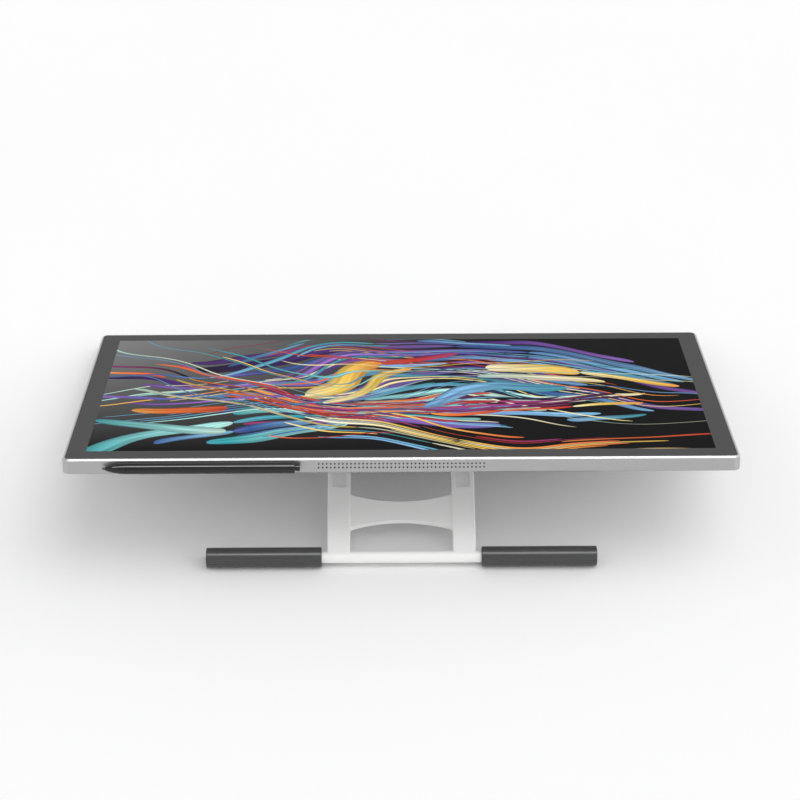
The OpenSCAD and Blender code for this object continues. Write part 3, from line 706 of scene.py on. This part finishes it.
def pen_shells():
    """Nose, barrel and tail of the pen as smooth turned shells with open joint lines, and the nib."""
    low, high = extents("pen_barrel", pen)
    start = low.x / MM
    end = high.x / MM
    radius = -low.y / MM
    flat = high.y / MM
    nose_at = extents("pen_nose", pen)[0].x / MM
    tail_end = extents("pen_tail", pen)[1].x / MM
    seam = 0.15

    # nose: a small flat tip, then a curve that levels out at the barrel
    tip_r = 1.5
    tip_edge = 0.3
    curve_steps = 24
    curve_at = nose_at + tip_edge
    curve_len = start - curve_at - seam
    nose = [(nose_at, 0.0), (nose_at, tip_r - tip_edge), (curve_at, tip_r)]
    for i in range(1, curve_steps + 1):
        t = i / curve_steps
        swell = 1 - (1 - t) ** 2.1
        nose.append((curve_at + curve_len * t, tip_r + (radius - tip_r) * swell))
    nose += [(start, radius - seam), (start, 0.0)]
    stand_for(turned(nose, pen, flat), "pen_nose", "pen_nose_shell")

    # barrel: a rounded end that closes round the neck of the tail
    end_round = 0.8
    tail_r = radius - 1.8
    neck_r = tail_r - 0.5
    barrel = [(start, 0.0), (start, radius - seam), (start + seam, radius)]
    barrel += arc((end - end_round, radius - end_round), end_round, 90, 0)
    barrel += [(end, neck_r), (end, 0.0)]
    stand_for(turned(barrel, pen, flat), "pen_barrel", "pen_barrel_shell")

    # tail: a neck, a groove in front of the cap, and a cap with a dished end
    neck_at = end - 0.5
    cap_at = end + 0.7
    cap_edge = 0.1
    cap_round = 0.6
    dish_r = tail_r - 1.4
    dish = 0.2
    tail = [(neck_at, 0.0), (neck_at, neck_r), (cap_at, neck_r)]
    tail += [(cap_at, tail_r - cap_edge), (cap_at + cap_edge, tail_r)]
    tail += arc((tail_end - cap_round, tail_r - cap_round), cap_round, 90, 0)
    tail += [(tail_end, dish_r), (tail_end - dish, 0.0)]
    stand_for(turned(tail, pen), "pen_tail", "pen_tail_shell")

    # nib: a blunt ball end on a straight rod
    nib_r = (nib_high.z - nib_low.z) / 2 / MM
    nib_end = (nib_high.x - nib_low.x) / MM
    nib = [(0.0, 0.0)] + arc((nib_r, 0.0), nib_r, 165, 90) + [(nib_end, nib_r), (nib_end, 0.0)]
    stand_for(turned(nib, pen), "pen_nib", "pen_nib_turned")


def foot_sleeves():
    """Rubber sleeves with rounded ends and a shallow dish in the closed end."""
    rim = 1.0
    dish = 0.4
    for name, side in (("foot_sleeve_left", -1), ("foot_sleeve_right", 1)):
        low, high = extents(name, stand)
        radius = (high.z - low.z) / 2 / MM
        length = (high.x - low.x) / MM
        inner = low.x if side > 0 else high.x
        axes = Matrix.Translation((inner, (low.y + high.y) / 2, 0)) @ Matrix.Diagonal((side, 1, 1, 1))
        dish_r = radius - 2.5
        profile = [(0.0, 0.0), (0.0, radius - rim)] + arc((rim, radius - rim), rim, 180, 90)
        profile += arc((length - rim, radius - rim), rim, 90, 0)
        profile += [(length, dish_r), (length - dish, dish_r - 0.5), (length - dish, 0.0)]
        stand_for(turned(profile, stand @ axes, steps=96), name, name + "_shell")


def screw_places(node, axes):
    """Lowest middle point of each solid in a CAD node, along the axes of a frame."""
    work = merged(node)
    bmesh.ops.transform(work, matrix=axes.inverted(), verts=work.verts)
    left = set(work.verts)
    places = []
    while left:
        front = [left.pop()]
        island = []
        while front:
            spot = front.pop()
            island.append(spot.co.copy())
            for edge in spot.link_edges:
                other = edge.other_vert(spot)
                if other in left:
                    left.remove(other)
                    front.append(other)
        spans = [(min(p[i] for p in island), max(p[i] for p in island)) for i in range(3)]
        places.append(((spans[0][0] + spans[0][1]) / 2, (spans[1][0] + spans[1][1]) / 2, spans[2][0]))
    work.free()
    return sorted(places)


def screw_tree():
    """Geometry Nodes: a countersunk screw with a cross recess on each point, turned by chance."""
    tree = bpy.data.node_groups.new("countersunk_screws", "GeometryNodeTree")
    tree.interface.new_socket("Points", in_out="INPUT", socket_type="NodeSocketGeometry")
    for name in ("Head radius", "Head height", "Shank radius", "Length"):
        tree.interface.new_socket(name, in_out="INPUT", socket_type="NodeSocketFloat")
    tree.interface.new_socket("Finish", in_out="INPUT", socket_type="NodeSocketMaterial")
    tree.interface.new_socket("Screws", in_out="OUTPUT", socket_type="NodeSocketGeometry")
    given = add(tree, "NodeGroupInput").outputs
    head = add(tree, "GeometryNodeMeshCone", sockets={
        "Vertices": 32, "Radius Top": given["Shank radius"], "Radius Bottom": given["Head radius"],
        "Depth": given["Head height"]})
    shank = add(tree, "GeometryNodeMeshCylinder", sockets={
        "Vertices": 24, "Radius": given["Shank radius"], "Depth": given["Length"]})
    half_length = add(tree, MATH, given["Length"], 0.5, operation="MULTIPLY")
    lift = add(tree, JOIN, 0.0, 0.0, half_length)
    raised = add(tree, "GeometryNodeTransform", sockets={"Geometry": shank, "Translation": lift})
    blank = add(tree, "GeometryNodeMeshBoolean", sockets={"Mesh 2": [head, raised]}, operation="UNION")
    # the recess is two crossed bars, sized from the head
    bar_length = add(tree, MATH, given["Head radius"], 1.25, operation="MULTIPLY")
    bar_width = add(tree, MATH, given["Head radius"], 0.28, operation="MULTIPLY")
    bar_depth = add(tree, MATH, given["Head height"], 1.1, operation="MULTIPLY")
    bar_size = add(tree, JOIN, bar_length, bar_width, bar_depth)
    bar = add(tree, "GeometryNodeMeshCube", sockets={"Size": bar_size})
    crossed = add(tree, "GeometryNodeTransform", sockets={
        "Geometry": bar, "Rotation": (0, 0, math.pi / 2)})
    screw = add(tree, "GeometryNodeMeshBoolean", sockets={"Mesh 1": blank, "Mesh 2": [bar, crossed]},
                operation="DIFFERENCE")
    chance = add(tree, "FunctionNodeRandomValue", sockets={"Max": math.pi, "Seed": 5}, data_type="FLOAT")
    spin = add(tree, JOIN, 0.0, 0.0, chance.outputs["Value"])
    set_out = add(tree, "GeometryNodeInstanceOnPoints", sockets={
        "Points": given["Points"], "Instance": screw, "Rotation": spin})
    real = add(tree, "GeometryNodeRealizeInstances", set_out)
    coated = add(tree, "GeometryNodeSetMaterial", sockets={"Geometry": real, "Material": given["Finish"]})
    add(tree, "NodeGroupOutput", coated)
    return tree


def screws():
    """Screws of the rear cover and of the hinge brackets, with their recesses."""
    tree = screw_tree()
    keys = {item.name: item.identifier for item in tree.interface.items_tree if item.in_out == "INPUT"}
    # radius and height of the head, radius of the shank, in mm
    rows = (("cover_screws", 1.9, 0.8, 0.9), ("hinge_screws", 2.3, 1.2, 1.2))
    for node, head_r, head_h, shank_r in rows:
        low, high = extents(node, slab)
        mesh = bpy.data.meshes.new(node)
        mesh.from_pydata(screw_places(node, slab), [], [])
        draft = hang(node + "_draft", mesh)
        modifier = draft.modifiers.new("screws", "NODES")
        modifier.node_group = tree
        modifier[keys["Head radius"]] = head_r * MM
        modifier[keys["Head height"]] = head_h * MM
        modifier[keys["Shank radius"]] = shank_r * MM
        modifier[keys["Length"]] = high.z - low.z
        modifier[keys["Finish"]] = finishes[slot_of[node]]
        made = settle(draft)
        made.transform(slab)
        made.set_sharp_from_angle(angle=math.radians(30))
        stand_for(made, node, node + "_recessed")


# Edge radii in mm
ROUNDED = {
    "cover_glass": 0.4, "stand_rail_left": 0.5, "stand_rail_right": 0.5,
    "lower_brace": 0.6, "upper_brace": 0.6, "hinge_bracket_left": 0.3, "hinge_bracket_right": 0.3,
    "hinge_pin_left": 0.3, "hinge_pin_right": 0.3, "rest_pad_left": 1.0, "rest_pad_right": 1.0,
    "power_button": 0.35, "pen_button": 0.3,
}
pen_shells()
foot_sleeves()
screws()
for node, width in ROUNDED.items():
    rounded(node, width)


# Stage, in metres

def backdrop():
    """Wide pale floor that keeps the shadow."""
    mesh = bpy.data.meshes.new("studio_floor")
    half = 12.0
    corners = [(-half, -half, 0), (half, -half, 0), (half, half, 0), (-half, half, 0)]
    mesh.from_pydata(corners, [], [(0, 1, 2, 3)])
    floor = hang("studio_floor", mesh)
    paper = Finish("backdrop_paper", IOR=1.3)
    paper.grain(0xF8F8F8, 0xFAFAFA, 0.9, size=400, depth=0.0)
    mesh.materials.append(paper.material)


def overhead(at, spread, strength):
    """Soft light from the direction of a point, spread degrees across; it lights the whole floor alike."""
    lamp = bpy.data.lights.new("overhead_light", "SUN")
    lamp.angle = math.radians(spread)
    lamp.energy = strength
    holder = bpy.data.objects.new("overhead_light", lamp)
    bpy.context.scene.collection.objects.link(holder)
    holder.rotation_euler = Vector(at).to_track_quat("Z", "Y").to_euler()


def strip_softbox(at, towards, width, depth, power):
    """Rectangular lamp that faces a point and shows in glossy surfaces only."""
    lamp = bpy.data.lights.new("strip_softbox", "AREA")
    lamp.shape = "RECTANGLE"
    lamp.size = width
    lamp.size_y = depth
    lamp.energy = power
    holder = bpy.data.objects.new("strip_softbox", lamp)
    bpy.context.scene.collection.objects.link(holder)
    holder.location = at
    holder.rotation_euler = (Vector(towards) - Vector(at)).to_track_quat("-Z", "Y").to_euler()
    holder.visible_diffuse = False


def studio_world(zenith, horizon, lean, flank):
    """White room, brighter at the horizon than overhead, by flank at both sides and by lean towards +x."""
    world = bpy.data.worlds.new("studio")
    bpy.context.scene.world = world
    world.use_nodes = True
    tree = world.node_tree
    tree.nodes.clear()
    x, _, z = add(tree, SPLIT, add(tree, "ShaderNodeTexCoord").outputs["Generated"]).outputs
    level = add(tree, SPREAD, z, 0.0, 1.0, horizon, zenith)
    slant = add(tree, MATH, x, flank, lean, operation="MULTIPLY_ADD")
    side = add(tree, MATH, x, slant, 1.0, operation="MULTIPLY_ADD")
    strength = add(tree, MATH, level, side, operation="MULTIPLY")
    sky = add(tree, "ShaderNodeBackground", (1, 1, 1, 1), strength)
    add(tree, "ShaderNodeOutputWorld", sky)


backdrop()
studio_world(zenith=0.5, horizon=0.79, lean=0.46, flank=1.45)
overhead(at=(0.6, -0.1, 2.2), spread=52, strength=0.69)
strip_softbox(at=(0, -0.74, 2.3), towards=(0, -0.16, 0.05), width=3.4, depth=0.5, power=66)
bpy.context.scene.view_settings.view_transform = "Standard"

# Camera at the photograph's place, in metres and degrees
CAMERA_AT = (-0.01011, -1.87004, 1.41289)
CAMERA_PITCH = 35.9385
CAMERA_YAW = -0.3024
CAMERA_ROLL = -0.1126
CAMERA_LENS = 116.951
lens = bpy.data.cameras.new("camera")
lens.sensor_width = 36.0
lens.lens = CAMERA_LENS
camera = bpy.data.objects.new("camera", lens)
bpy.context.scene.collection.objects.link(camera)
camera.matrix_world = (Matrix.Translation(CAMERA_AT) @ Matrix.Rotation(math.radians(CAMERA_YAW), 4, "Z")
                       @ Matrix.Rotation(math.radians(90 - CAMERA_PITCH), 4, "X")
                       @ Matrix.Rotation(math.radians(CAMERA_ROLL), 4, "Z"))
bpy.context.scene.camera = camera
